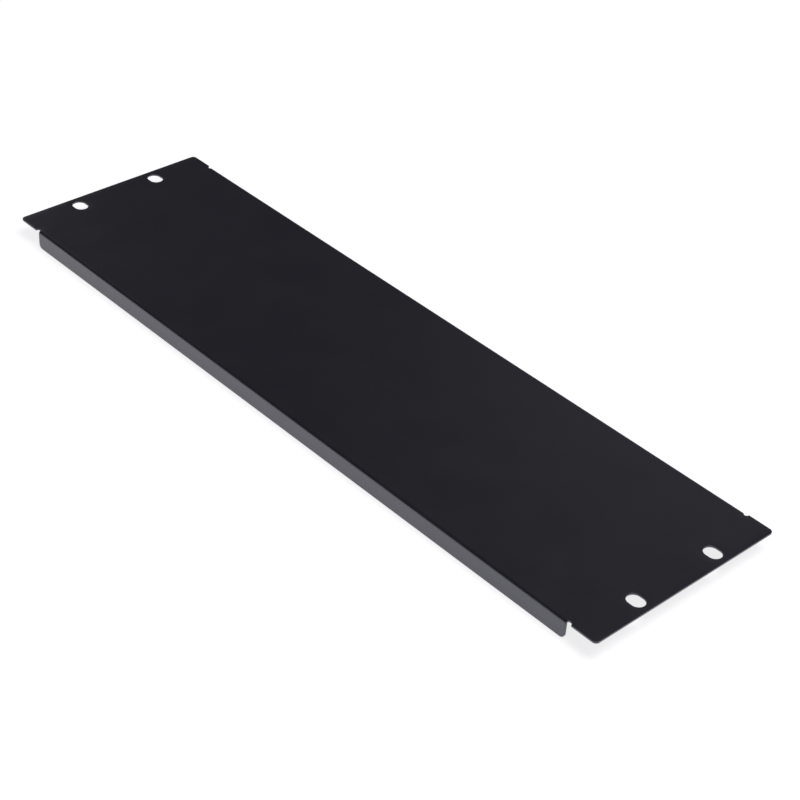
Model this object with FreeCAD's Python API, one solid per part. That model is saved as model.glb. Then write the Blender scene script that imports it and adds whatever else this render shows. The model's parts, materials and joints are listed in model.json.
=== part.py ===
# Rack blanking panel: one steel sheet, punched flat and then folded along both long edges.
# Frame: the ears' rear (seating) face is z = 0 and the front face looks along +Z.
# +X runs across the rack, +Y runs up it, and the origin is at the centre of the four slots.
import FreeCAD, Part
import math
import os

# Driving dimensions, in millimetres.
panel_width = 482.6           # across both ears, the 19 inch rack width
rack_unit = 44.45             # height of one rack space
units_high = 3                # rack spaces that the panel covers
height_clearance = 0.85       # taken off so that neighbouring panels don't touch
sheet_thickness = 1.2
flange_depth = 11.5           # front face to the free edge of a flange
inner_bend_radius = 0.7       # inside radius of both folds
flange_corner_radius = 3.0    # at the two free corners of each flange
ear_length = 16.4             # panel end to the first edge of a relief
ear_setback = 0.15            # the ears' long edges stay this far inside the flanges' outer faces
ear_corner_radius = 2.5
relief_width = 3.0            # round-ended notch between an ear and a flange
relief_past_bend = 0.05       # how far the notch reaches beyond the fold's tangent line
relief_mouth_radius = 0.5     # convex corner where a notch opens onto the ear's long edge
slot_inset = 8.75             # panel end to the slots' centres, 465.1 apart across the rack
slot_pitch_up = 57.15         # between the two slots of one ear
slot_width = 8.5
slot_length = 10.6            # end to end, along X
front_edge_round = 0.2        # punching rolls the front skin's edges over and leaves the rear ones crisp

# Sizes that follow from them.
body_height = units_high * rack_unit - height_clearance
outer_bend_radius = inner_bend_radius + sheet_thickness
half_width = panel_width / 2
half_height = body_height / 2
ear_edge = half_height - ear_setback
bend_line = half_height - outer_bend_radius
slot_column = half_width - slot_inset
relief_centre = half_width - ear_length - relief_width / 2
relief_bottom = bend_line - relief_past_bend
free_edge = sheet_thickness - flange_depth
overshoot = 5.0               # cutting tools run past the metal by this much
smooth_turn = math.radians(20)  # faces that turn by less than this run smoothly into each other
same_place = 1e-6             # lengths that differ by less than this are the same
skin_depth = sheet_thickness / 4  # what lies this close to the front belongs to the front skin


def fold_section():
    """Face of the U section across the panel, in the plane x = 0: outer skin, then inner skin."""
    top = sheet_thickness
    inside = half_height - sheet_thickness
    bend_top = top - outer_bend_radius
    turn = math.sqrt(0.5)

    def point(side, y, z):
        return FreeCAD.Vector(0, side * y, z)

    def bend(side, radius):
        """Quarter turn about the fold's axis, from the face round to the flange."""
        return Part.Arc(
            point(side, bend_line, bend_top + radius),
            point(side, bend_line + radius * turn, bend_top + radius * turn),
            point(side, bend_line + radius, bend_top),
        )

    skins = []
    for radius, outline, level in ((outer_bend_radius, half_height, top), (inner_bend_radius, inside, 0)):
        skins.append(Part.LineSegment(point(-1, bend_line, level), point(1, bend_line, level)))
        for side in (-1, 1):
            skins.append(bend(side, radius))
            skins.append(Part.LineSegment(point(side, outline, bend_top), point(side, outline, free_edge)))
    ends = [Part.LineSegment(point(s, half_height, free_edge), point(s, inside, free_edge)) for s in (-1, 1)]
    edges = Part.__sortEdges__([curve.toShape() for curve in skins + ends])
    return Part.Face(Part.Wire(edges))


def folded_body():
    """The U channel, run out to the middle of the reliefs at both ends."""
    channel = fold_section().extrude(FreeCAD.Vector(2 * relief_centre, 0, 0))
    channel.translate(FreeCAD.Vector(-relief_centre, 0, 0))
    return channel


def ear(side):
    """Flat ear from the middle of the reliefs to the panel's end, with its two outer corners rounded."""
    length = half_width - relief_centre
    low_corner = FreeCAD.Vector(relief_centre if side > 0 else -half_width, -ear_edge, 0)
    plate = Part.makeBox(length, 2 * ear_edge, sheet_thickness, low_corner)
    corners = [edge for edge in upright_edges(plate) if abs(edge.CenterOfMass.x) > relief_centre + length / 2]
    return plate.makeFillet(ear_corner_radius, corners)


def upright_edges(shape):
    """Straight edges that run along Z for the full thickness of the sheet."""
    def is_upright(edge):
        box = edge.BoundBox
        stands = abs(box.ZLength - sheet_thickness) < same_place
        return stands and box.XLength < same_place and box.YLength < same_place

    return [edge for edge in shape.Edges if is_upright(edge)]


def stadium_prism(length, width, low_z, high_z, along):
    """Upright prism of a round-ended slot centred on the origin, its long axis along the unit vector."""
    radius = width / 2
    centres = [along * (reach * (length - width) / 2) for reach in (-1, 1)]
    across = FreeCAD.Vector(-along.y, along.x, 0) * radius
    sides = [
        Part.LineSegment(centres[0] + across, centres[1] + across),
        Part.LineSegment(centres[0] - across, centres[1] - across),
    ]
    caps = [
        Part.Arc(centres[0] + across, centres[0] - along * radius, centres[0] - across),
        Part.Arc(centres[1] + across, centres[1] + along * radius, centres[1] - across),
    ]
    wire = Part.Wire(Part.__sortEdges__([curve.toShape() for curve in sides + caps]))
    wire.translate(FreeCAD.Vector(0, 0, low_z))
    return Part.Face(wire).extrude(FreeCAD.Vector(0, 0, high_z - low_z))


def slot_cutters():
    """Four oblong screw slots, long axis across the rack."""
    cutters = []
    for side_x in (-1, 1):
        for side_y in (-1, 1):
            cutter = stadium_prism(
                slot_length, slot_width, -overshoot, sheet_thickness + overshoot, FreeCAD.Vector(1, 0, 0)
            )
            cutter.translate(FreeCAD.Vector(side_x * slot_column, side_y * slot_pitch_up / 2, 0))
            cutters.append(cutter)
    return cutters


def relief_cutters():
    """Four round-ended notches that part the flanges from the ears."""
    cutters = []
    mouth = half_height + overshoot
    for side_x in (-1, 1):
        for side_y in (-1, 1):
            cutter = stadium_prism(
                mouth - relief_bottom + relief_width / 2, relief_width,
                free_edge - overshoot, sheet_thickness + overshoot, FreeCAD.Vector(0, 1, 0),
            )
            centre_y = (mouth + relief_width / 2 + relief_bottom) / 2
            cutter.translate(FreeCAD.Vector(side_x * relief_centre, side_y * centre_y, 0))
            cutters.append(cutter)
    return cutters


def round_flange_corners(panel):
    """Rounds the two free corners of each flange: short edges along Y at the free edge's ends."""
    flange_end = relief_centre - relief_width / 2

    def is_free_corner(edge):
        box = edge.BoundBox
        middle = edge.CenterOfMass
        return (
            box.XLength < same_place and box.ZLength < same_place
            and abs(middle.z - free_edge) < same_place
            and abs(abs(middle.x) - flange_end) < same_place
        )

    return panel.makeFillet(flange_corner_radius, [e for e in panel.Edges if is_free_corner(e)])


def round_relief_mouths(panel):
    """Rounds the ears' inner corners, where each relief opens onto the long edge."""
    mouth_x = half_width - ear_length

    def is_mouth(edge):
        middle = edge.CenterOfMass
        return abs(abs(middle.x) - mouth_x) < same_place and abs(abs(middle.y) - ear_edge) < same_place

    return panel.makeFillet(relief_mouth_radius, [e for e in upright_edges(panel) if is_mouth(e)])


def sharp_edges(shape):
    """Edges where two faces meet at a corner, and not where a flat runs smoothly into a curve."""
    def turn_between_faces(edge):
        spot = edge.valueAt((edge.FirstParameter + edge.LastParameter) / 2)
        faces = shape.ancestorsOfType(edge, Part.Face)
        normals = [face.normalAt(*face.Surface.parameter(spot)) for face in faces]
        return normals[0].getAngle(normals[-1])

    return [edge for edge in shape.Edges if turn_between_faces(edge) > smooth_turn]


def is_on_front_skin(point):
    """True for a point of the skin that starts as the front face and goes on round both folds."""
    height = abs(point.y)
    bend_top = sheet_thickness - outer_bend_radius
    if height <= bend_line or abs(point.x) > relief_centre:
        depth = sheet_thickness - point.z
    elif point.z >= bend_top:
        depth = outer_bend_radius - math.hypot(height - bend_line, point.z - bend_top)
    else:
        depth = half_height - height
    return depth < skin_depth


def round_front_edges(panel):
    """Rolls over every edge of the front skin: outline, slots, reliefs and flange ends."""
    def middle_of(edge):
        return edge.valueAt((edge.FirstParameter + edge.LastParameter) / 2)

    front = [edge for edge in sharp_edges(panel) if is_on_front_skin(middle_of(edge))]
    return panel.makeFillet(front_edge_round, front)


def blanking_panel():
    """The finished panel: folded, punched, its corners rounded and its front edges rolled over."""
    blank = folded_body().fuse([ear(-1), ear(1)]).removeSplitter()
    punched = blank.cut(slot_cutters() + relief_cutters())
    return round_front_edges(round_relief_mouths(round_flange_corners(punched)))


os.makedirs("parts", exist_ok=True)
panel = blanking_panel()
solid = panel.Solids[0]
print("solids", len(panel.Solids), "valid", solid.isValid(), "faces", len(solid.Faces))
print("volume", round(solid.Volume, 1))
solid.exportStep("parts/blanking_panel.step")
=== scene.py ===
# Rack blanking panel lying face up on a light table:
# a folded sheet with its powder coat, the table, the lights and the camera.
import json

import bpy
import numpy as np
from mathutils import Matrix, Vector
from mathutils.geometry import delaunay_2d_cdt


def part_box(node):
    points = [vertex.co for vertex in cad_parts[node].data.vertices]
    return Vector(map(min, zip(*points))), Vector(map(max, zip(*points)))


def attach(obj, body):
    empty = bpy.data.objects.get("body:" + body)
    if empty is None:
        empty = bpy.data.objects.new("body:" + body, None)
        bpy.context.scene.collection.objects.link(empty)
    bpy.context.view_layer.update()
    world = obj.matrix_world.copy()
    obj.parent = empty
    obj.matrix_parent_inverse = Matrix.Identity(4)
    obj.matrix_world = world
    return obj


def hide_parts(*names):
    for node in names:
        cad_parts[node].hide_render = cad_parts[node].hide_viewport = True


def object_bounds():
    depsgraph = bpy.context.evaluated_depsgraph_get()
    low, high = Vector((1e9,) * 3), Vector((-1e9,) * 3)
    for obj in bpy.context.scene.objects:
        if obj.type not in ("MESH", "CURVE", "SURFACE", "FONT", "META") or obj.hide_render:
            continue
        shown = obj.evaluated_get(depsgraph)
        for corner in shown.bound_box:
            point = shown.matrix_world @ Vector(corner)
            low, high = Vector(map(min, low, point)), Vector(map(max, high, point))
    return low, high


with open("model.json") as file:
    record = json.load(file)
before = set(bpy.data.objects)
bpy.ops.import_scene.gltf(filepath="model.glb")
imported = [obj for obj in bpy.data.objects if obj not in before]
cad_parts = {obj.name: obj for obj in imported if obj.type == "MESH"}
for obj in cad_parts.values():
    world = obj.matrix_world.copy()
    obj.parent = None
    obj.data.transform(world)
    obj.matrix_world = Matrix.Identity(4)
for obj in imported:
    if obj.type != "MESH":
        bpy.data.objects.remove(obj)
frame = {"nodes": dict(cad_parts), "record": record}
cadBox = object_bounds()
panelLow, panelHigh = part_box("blanking_panel")
print("frame loaded:", ", ".join(sorted(frame["nodes"])))


class Socket:
    # wraps one output socket of a node tree; an operator on it adds the Math node that it stands for

    def __init__(self, tree, output):
        self.tree = tree
        self.output = output

    def node(self, kind, settings=None, values=None, output=0):
        # adds any node: its settings first, then a value or a link for each named or numbered input
        made = self.tree.nodes.new(kind)
        for name, setting in (settings or {}).items():
            setattr(made, name, setting)
        for name, value in (values or {}).items():
            if isinstance(value, Socket):
                self.tree.links.new(value.output, made.inputs[name])
            else:
                made.inputs[name].default_value = value
        return Socket(self.tree, made.outputs[output])

    def maths(self, operation, first, second=0.0):
        return self.node("ShaderNodeMath", {"operation": operation}, {0: first, 1: second})

    def __add__(self, other):
        return self.maths("ADD", self, other)

    __radd__ = __add__

    def __sub__(self, other):
        return self.maths("SUBTRACT", self, other)

    def __rsub__(self, other):
        return self.maths("SUBTRACT", other, self)

    def __mul__(self, other):
        return self.maths("MULTIPLY", self, other)

    __rmul__ = __mul__


def newMaterial(name):
    # an emptied node tree with an output, a Principled shader, and the object coordinates as a Socket
    material = bpy.data.materials.new(name)
    material.use_nodes = True
    tree = material.node_tree
    tree.nodes.clear()
    finish = tree.nodes.new("ShaderNodeOutputMaterial")
    shader = tree.nodes.new("ShaderNodeBsdfPrincipled")
    tree.links.new(shader.outputs["BSDF"], finish.inputs["Surface"])
    place = Socket(tree, tree.nodes.new("ShaderNodeTexCoord").outputs["Object"])
    return material, shader, place


def newObject(name, corners, faces, material):
    # a mesh from rows of corners and of corner numbers, in an object at the origin
    mesh = bpy.data.meshes.new(name)
    mesh.from_pydata(corners.tolist(), [], faces)
    mesh.materials.append(material)
    made = bpy.data.objects.new(name, mesh)
    bpy.context.scene.collection.objects.link(made)
    return made


coat = {
    "darkColour": (0.0065, 0.0065, 0.0085, 1.0),
    "lightColour": (0.0105, 0.0102, 0.0130, 1.0),
    "cloudShare": 0.6,       # how much of the tone follows the slow clouds
    "grainShare": 0.4,
    "roughness": 0.33,
    "roughnessSpread": 0.16,
    "specularLevel": 0.95,
    "specularTint": (0.85, 0.85, 1.0, 1.0),
    "ior": 1.60,
    "peelSize": 0.0009,      # metres between the crests of the orange peel
    "peelDepth": 0.000020,
    "grainSize": 0.00028,
    "grainDepth": 0.000004,
    "cloudSize": 0.035,
    "noiseDetail": 2.0,
    "noiseRoughness": 0.5,
}


def noiseField(place, size):
    # three-dimensional noise, 0 to 1, whose features are about the given size in metres
    values = {
        "Vector": place,
        "Scale": 1.0 / size,
        "Detail": coat["noiseDetail"],
        "Roughness": coat["noiseRoughness"],
    }
    return place.node("ShaderNodeTexNoise", {"noise_dimensions": "3D"}, values)


def powderCoat():
    # black fine-textured powder coat: orange peel with a finer grain on it, and slow clouds in tone and gloss
    material, shader, place = newMaterial("black_powder_coat")
    peel = noiseField(place, coat["peelSize"])
    grain = noiseField(place, coat["grainSize"])
    cloud = noiseField(place, coat["cloudSize"])
    tone = coat["cloudShare"] * cloud + coat["grainShare"] * grain
    colour = place.node(
        "ShaderNodeMix", {"data_type": "RGBA"},
        {0: tone, 6: coat["darkColour"], 7: coat["lightColour"]}, output=2,
    )
    relief = coat["peelDepth"] * peel + coat["grainDepth"] * grain
    bump = place.node("ShaderNodeBump", {}, {"Strength": 1.0, "Distance": 1.0, "Height": relief})
    roughness = coat["roughness"] + coat["roughnessSpread"] * (cloud - 0.5)    # clouds average a half
    links = place.tree.links
    links.new(colour.output, shader.inputs["Base Color"])
    links.new(roughness.output, shader.inputs["Roughness"])
    links.new(bump.output, shader.inputs["Normal"])
    shader.inputs["IOR"].default_value = coat["ior"]
    shader.inputs["Specular IOR Level"].default_value = coat["specularLevel"]
    shader.inputs["Specular Tint"].default_value = coat["specularTint"]
    return material


sheet = {
    "foldRadius": 0.0019,      # outside radius of both folds
    "flangeCorner": 0.0030,
    "earLength": 0.0164,       # panel end to the relief
    "earSetback": 0.00015,     # ears' long edges inside the flanges' outer faces
    "earCorner": 0.0025,
    "reliefWidth": 0.0030,
    "reliefPastFold": 0.00005,
    "mouthRadius": 0.0005,
    "frontRound": 0.00022,     # the coat rounds the punched edges
    "rearRound": 0.00010,
    "frontRings": 6,           # rings of points round each rounded edge
    "rearRings": 4,
    "runStep": 0.0040,         # spacing of points along straight runs and over the skins
    "flangeStep": 0.0020,      # closer together down the flanges
    "arcStep": 6.0,            # degrees between points of an arc
    "foldRows": 12,
    "edgeRoom": 3,             # front rounds between an edge and the nearest row along it
    "endColumns": (4, 8),      # front rounds from a flange's end to its extra columns
    "weldDistance": 1e-9,      # corners of the skins closer than this would be one corner
    "sagDepth": 0.00018,       # the wide face is never quite flat
    # each wave's length in metres, slant across the rows, phase and weight
    "sagWaves": ((0.118, 0.0, 0.6, 1.0), (0.071, 0.7, 2.1, 1.0), (0.053, -1.3, 4.0, 0.6)),
}

# the flat blank is described by x across the rack and s, the length along the outer skin from the middle line
thickness = panelHigh.z
halfWidth = panelHigh.x
halfHeight = panelHigh.y
foldStart = halfHeight - sheet["foldRadius"]
foldEnd = foldStart + sheet["foldRadius"] * np.pi / 2
freeEdge = foldEnd + (thickness - sheet["foldRadius"]) - panelLow.z
earEdge = halfHeight - sheet["earSetback"]
reliefRadius = sheet["reliefWidth"] / 2
reliefX = halfWidth - sheet["earLength"] - reliefRadius
reliefY = foldStart - sheet["reliefPastFold"] + reliefRadius
flangeEnd = reliefX - reliefRadius
slots = next(m for m in frame["record"]["mounts"] if m["name"] == "rack_slots")["dims"]


def run(start, end, step):
    # evenly spaced points from start up to but not including end, on a straight line
    start, end = np.asarray(start, float), np.asarray(end, float)
    count = max(1, int(np.ceil(np.linalg.norm(end - start) / step)))
    return start + np.linspace(0, 1, count, endpoint=False)[:, None] * (end - start)


def arc(centre, radius, first, last):
    # points at even angles, in degrees, from first up to but not including last, on a circle
    count = max(2, int(np.ceil(abs(last - first) / sheet["arcStep"])))
    angle = np.radians(np.linspace(first, last, count, endpoint=False))
    return np.asarray(centre) + radius * np.stack([np.cos(angle), np.sin(angle)], axis=-1)


def unrolled(y):
    # length along the outer skin at height y: y itself up to the fold, then radius times the angle turned
    turned = np.arcsin(np.clip((y - foldStart) / sheet["foldRadius"], 0, 1))
    return np.where(y > foldStart, foldStart + sheet["foldRadius"] * turned, y)


def quarterOutline():
    # quarter of the blank's outline, from the end of the middle line round to the middle of the free edge;
    # the mouth's round touches the ear's edge and, where the two centres are their radii apart, the relief
    corner, mouth = sheet["earCorner"], sheet["mouthRadius"]
    mouthX = reliefX + np.sqrt((reliefRadius + mouth) ** 2 - (earEdge - mouth - reliefY) ** 2)
    mouthTurn = np.degrees(np.arctan2(earEdge - mouth - reliefY, mouthX - reliefX))
    ear = np.concatenate([
        run((halfWidth, 0), (halfWidth, earEdge - corner), sheet["runStep"]),
        arc((halfWidth - corner, earEdge - corner), corner, 0, 90),
        run((halfWidth - corner, earEdge), (mouthX, earEdge), sheet["runStep"]),
        arc((mouthX, earEdge - mouth), mouth, 90, 180 + mouthTurn),
        arc((reliefX, reliefY), reliefRadius, mouthTurn, -90),
    ])
    notch = arc((reliefX, reliefY), reliefRadius, -90, -180)
    notch[:, 1] = unrolled(notch[:, 1])
    cornerX = flangeEnd - sheet["flangeCorner"]
    cornerY = freeEdge - sheet["flangeCorner"]
    wallStart = unrolled(np.array(reliefY))
    flange = np.concatenate([
        run((flangeEnd, wallStart), (flangeEnd, foldEnd), (foldEnd - foldStart) / sheet["foldRows"]),
        run((flangeEnd, foldEnd), (flangeEnd, cornerY), sheet["flangeStep"]),
        arc((cornerX, cornerY), sheet["flangeCorner"], 0, 90),
        run((cornerX, freeEdge), (0, freeEdge), sheet["runStep"]),
    ])
    return np.concatenate([ear, notch, flange])


def blankOutline():
    # the quarter and its mirror images, joined anticlockwise into one closed loop
    quarter = quarterOutline()
    tip = np.array([[0, freeEdge]])
    half = np.concatenate([quarter, tip, (quarter * (-1, 1))[:0:-1]])
    return np.concatenate([half, -half])


def slotLoop(centreX, centreY):
    # round-ended slot, taken clockwise because it is a hole
    radius = slots["hole_r_mm"] / 1000
    reach = slots["slot_length_mm"] / 2000 - radius
    right, left = (centreX + reach, centreY), (centreX - reach, centreY)
    return np.concatenate([arc(right, radius, 90, -90), arc(left, radius, -90, -270)])


def inward(loop, distance):
    # moves each point of a loop square to the loop, towards the metal, which is on its left
    along = np.roll(loop, -1, axis=0) - np.roll(loop, 1, axis=0)
    along /= np.linalg.norm(along, axis=1, keepdims=True)
    return loop + distance * np.stack([-along[:, 1], along[:, 0]], axis=-1)


def isInside(points, loop):
    # even-odd rule: counts the loop's edges that a ray along +x crosses
    x, y = points[:, 0, None], points[:, 1, None]
    startX, startY = loop.T
    endX, endY = np.roll(loop, -1, axis=0).T
    rise = np.where(endY == startY, 1.0, endY - startY)
    crossing = startX + (y - startY) / rise * (endX - startX)
    return (((startY > y) != (endY > y)) & (crossing > x)).sum(axis=1) % 2 == 1


def isMetal(points, loops):
    # inside the outline, which is the first loop, and outside every slot
    keep = isInside(points, loops[0])
    for hole in loops[1:]:
        keep &= ~isInside(points, hole)
    return keep


def sag(x, s):
    # slow waves, a weighted mean of slanted sines, that die out towards the folds and the ends
    weights = sum(weight for _, _, _, weight in sheet["sagWaves"])
    waves = sum(
        weight * np.sin(2 * np.pi / length * (x + slant * s) + phase)
        for length, slant, phase, weight in sheet["sagWaves"]
    ) / weights
    calmAcross = np.cos(np.clip(s / foldStart, -1, 1) * np.pi / 2)
    calmAlong = np.cos(np.clip(x / flangeEnd, -1, 1) * np.pi / 2)
    return sheet["sagDepth"] * (waves - 1) / 2 * np.sqrt(np.clip(calmAcross * calmAlong, 0, 1))


def fold(blank, depth):
    # blank to space: flat up to the fold, a quarter turn about the fold's axis, then straight down the
    # flange; depth is measured square to the outer skin, and the ears past the reliefs stay flat
    x, s = blank.T
    side, length = np.sign(s), np.abs(s)
    radius = sheet["foldRadius"]
    onEar = np.abs(x) > reliefX
    turned = np.where(onEar, 0, np.clip((length - foldStart) / radius, 0, np.pi / 2))
    beyond = np.where(onEar, 0, np.maximum(length - foldEnd, 0))
    flat = np.where(onEar, length, np.minimum(length, foldStart))
    y = flat + (radius - depth) * np.sin(turned)
    z = thickness - radius + (radius - depth) * np.cos(turned) - beyond
    return np.stack([x, side * y, z + sag(x, s)], axis=-1)


def skinPoints(loops):
    # rows over the whole blank, close together round the folds, kept clear of the loops
    step = sheet["runStep"]
    near = sheet["edgeRoom"] * sheet["frontRound"]
    foldLevels = np.linspace(foldStart, foldEnd, sheet["foldRows"] + 1)
    flatLevels = np.arange(0, foldStart - step / 2, step)
    flangeLevels = np.arange(foldEnd + near, freeEdge - near, sheet["flangeStep"])
    upper = np.concatenate([flatLevels[1:], [foldStart - near], foldLevels, flangeLevels])
    levels = np.concatenate([-upper[::-1], [0], upper])
    endColumns = flangeEnd - np.array(sheet["endColumns"]) * sheet["frontRound"]
    columns = np.concatenate([np.arange(step, halfWidth, step), endColumns])
    columns = np.concatenate([-columns[::-1], [0], columns])
    grid = np.stack(np.meshgrid(columns, levels), axis=-1).reshape(-1, 2)
    # a row inside a fold may come closer to a loop than the wide rows may
    fromFold = np.abs(np.abs(grid[:, 1]) - (foldStart + foldEnd) / 2)
    inFold = (fromFold < foldEnd - foldStart) & (np.abs(grid[:, 0]) < reliefX)
    room = np.where(inFold, sheet["frontRound"], step / 3)
    edge = np.concatenate(loops)
    gap = np.sqrt(((grid[:, None, :] - edge[None, :, :]) ** 2).sum(axis=-1).min(axis=1))
    grid = grid[gap > room]
    return grid[isMetal(grid, loops)]


def following(loops):
    # for each point of the loops laid end to end, the number of the next point on its own loop
    starts = np.cumsum([0] + [len(loop) for loop in loops])
    return np.concatenate([np.roll(np.arange(a, b), -1) for a, b in zip(starts[:-1], starts[1:])])


def fillSkin(loops, points):
    # constrained Delaunay triangles between the loops, over the rows of points, all turned anticlockwise
    everything = np.concatenate(loops + [points])
    after = following(loops)
    edges = np.stack([np.arange(len(after)), after], axis=-1)
    corners, _, faces, origins, _, _ = delaunay_2d_cdt(
        everything.tolist(), edges.tolist(), [], 0, sheet["weldDistance"])
    if len(corners) != len(everything):
        raise RuntimeError("the skin's points and loops cross")
    order = np.array(origins)[:, 0]
    triangles = order[np.array(faces)]
    triangles = triangles[isMetal(everything[triangles].mean(axis=1), loops)]
    a, b, c = (everything[triangles[:, k]] for k in range(3))
    doubleArea = (b[:, 0] - a[:, 0]) * (c[:, 1] - a[:, 1]) - (b[:, 1] - a[:, 1]) * (c[:, 0] - a[:, 0])
    triangles[doubleArea < 0] = triangles[doubleArea < 0][:, ::-1]
    return triangles


def edgeProfile():
    # inset and depth of each ring, from the front skin over its rounded edge, down the cut and round to the
    # rear; each rounded edge is a quarter circle, with inset r - r sin and depth r - r cos from its own skin
    front, rear = sheet["frontRound"], sheet["rearRound"]
    over = np.radians(np.linspace(0, 90, sheet["frontRings"]))
    under = np.radians(np.linspace(90, 0, sheet["rearRings"]))
    inset = np.concatenate([front * (1 - np.sin(over)), rear * (1 - np.sin(under))])
    depth = np.concatenate([front * (1 - np.cos(over)), thickness - rear * (1 - np.cos(under))])
    return inset, depth


def foldedSheet():
    # front skin, the edge profile carried along the outline and the four slots, and rear skin, in one mesh
    slotX, slotY = slots["spacing_x_mm"] / 2000, slots["spacing_y_mm"] / 2000
    loops = [blankOutline()] + [slotLoop(sx * slotX, sy * slotY) for sx in (-1, 1) for sy in (-1, 1)]
    inset, depth = edgeProfile()
    rings = [np.concatenate([inward(loop, distance) for loop in loops]) for distance in inset]
    frontLoops = [inward(loop, inset[0]) for loop in loops]
    inner = skinPoints(frontLoops)
    triangles = fillSkin(frontLoops, inner)
    front = fold(np.concatenate([rings[0], inner]), 0.0)
    rear = fold(np.concatenate([rings[-1], inner]), thickness)
    rims = [fold(ring, level) for ring, level in zip(rings[1:-1], depth[1:-1])]
    corners = np.concatenate([front, rear] + rims)
    after = following(loops)
    first = np.arange(len(after))
    # first corner of each ring, from the front skin's own loops to the rear skin's
    ringStarts = [0] + [2 * len(front) + k * len(after) for k in range(len(rims))] + [len(front)]
    quads = np.concatenate([
        np.stack([upper + first, lower + first, lower + after, upper + after], axis=-1)
        for upper, lower in zip(ringStarts[:-1], ringStarts[1:])
    ])
    faces = triangles.tolist() + (triangles[:, ::-1] + len(front)).tolist() + quads.tolist()
    piece = newObject("folded_sheet", corners, faces, powderCoat())
    piece.data.shade_smooth()
    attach(piece, "root")
    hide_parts("blanking_panel")
    print("folded sheet:", len(corners), "corners,", len(faces), "faces")


foldedSheet()

table = {
    "halfSize": 6.0,
    "drop": 0.00003,     # clear of the free edges that rest on it
    "cells": 24,
    "colour": (0.80, 0.80, 0.81, 1.0),
    "roughness": 0.7,
    "specularLevel": 0.1,
    "glowColour": (1.0, 1.0, 1.0, 1.0),
    "glow": 0.775,
}


def lightTable():
    # flat grid just under the panel's lowest edge; the white sheet glows a little, as if lit from below
    steps = np.linspace(-table["halfSize"], table["halfSize"], table["cells"] + 1)
    acrossX, acrossY = np.meshgrid(steps, steps, indexing="xy")
    level = np.full_like(acrossX, cadBox[0].z - table["drop"])
    corners = np.stack([acrossX, acrossY, level], axis=-1).reshape(-1, 3)
    row = table["cells"] + 1
    start = np.add.outer(np.arange(table["cells"]) * row, np.arange(table["cells"])).ravel()
    quads = np.stack([start, start + 1, start + row + 1, start + row], axis=-1)
    material, shader, _ = newMaterial("table_white")
    shader.inputs["Base Color"].default_value = table["colour"]
    shader.inputs["Roughness"].default_value = table["roughness"]
    shader.inputs["Specular IOR Level"].default_value = table["specularLevel"]
    shader.inputs["Emission Color"].default_value = table["glowColour"]
    shader.inputs["Emission Strength"].default_value = table["glow"]
    floor = newObject("light_table", corners, quads.tolist(), material)


lightTable()

lamps = {
    "overhead": {"place": (0.45, 0.20, 1.5), "size": 1.0, "power": 7.2},
    "backWall": {"place": (-1.2, 2.6, 1.2), "size": 1.5, "power": 1.6},
    "leftSide": {"place": (-2.2, 0.4, 0.8), "size": 0.9, "power": 2.2},
}


def softbox(name, place, size, power):
    # square area light that faces the panel's middle
    lamp = bpy.data.lights.new(name, "AREA")
    lamp.size = size
    lamp.energy = power
    made = bpy.data.objects.new(name, lamp)
    made.location = place
    made.rotation_euler = (-Vector(place)).to_track_quat("-Z", "Y").to_euler()
    bpy.context.scene.collection.objects.link(made)


for name, lamp in lamps.items():
    softbox(name, **lamp)

surround = {"colour": (0.0855, 0.0835, 0.100, 1.0), "strength": 1.0}
world = bpy.data.worlds.new("surround")
bpy.context.scene.world = world
world.use_nodes = True
background = world.node_tree.nodes["Background"]
background.inputs["Color"].default_value = surround["colour"]
background.inputs["Strength"].default_value = surround["strength"]
bpy.context.scene.view_settings.view_transform = "Standard"
print("table and lights")

view = {
    "azimuth": 45.36,        # degrees
    "elevation": 35.83,
    "roll": 4.19,
    "distance": 1.0512,      # metres from the point aimed at, on the front face
    "aimX": 0.0414,
    "aimY": -0.0089,
    "lens": 86.95,           # millimetres
    "sensorWidth": 36.0,
}


def addCamera():
    # stands off from a point of the front face along azimuth and elevation, then rolls about its own axis
    turn, climb, roll = np.radians([view["azimuth"], view["elevation"], view["roll"]])
    back = Vector((np.sin(turn) * np.cos(climb), -np.cos(turn) * np.cos(climb), np.sin(climb)))
    level = Vector((np.cos(turn), np.sin(turn), 0.0))
    upright = back.cross(level)
    right = level * np.cos(roll) + upright * np.sin(roll)
    up = back.cross(right)
    aim = Vector((view["aimX"], view["aimY"], panelHigh.z))
    camera = bpy.data.objects.new("camera", bpy.data.cameras.new("camera"))
    camera.data.lens = view["lens"]
    camera.data.sensor_width = view["sensorWidth"]
    axes = Matrix((right, up, back)).transposed().to_4x4()
    camera.matrix_world = Matrix.Translation(aim + back * view["distance"]) @ axes
    bpy.context.scene.collection.objects.link(camera)
    bpy.context.scene.camera = camera


addCamera()
print("camera")
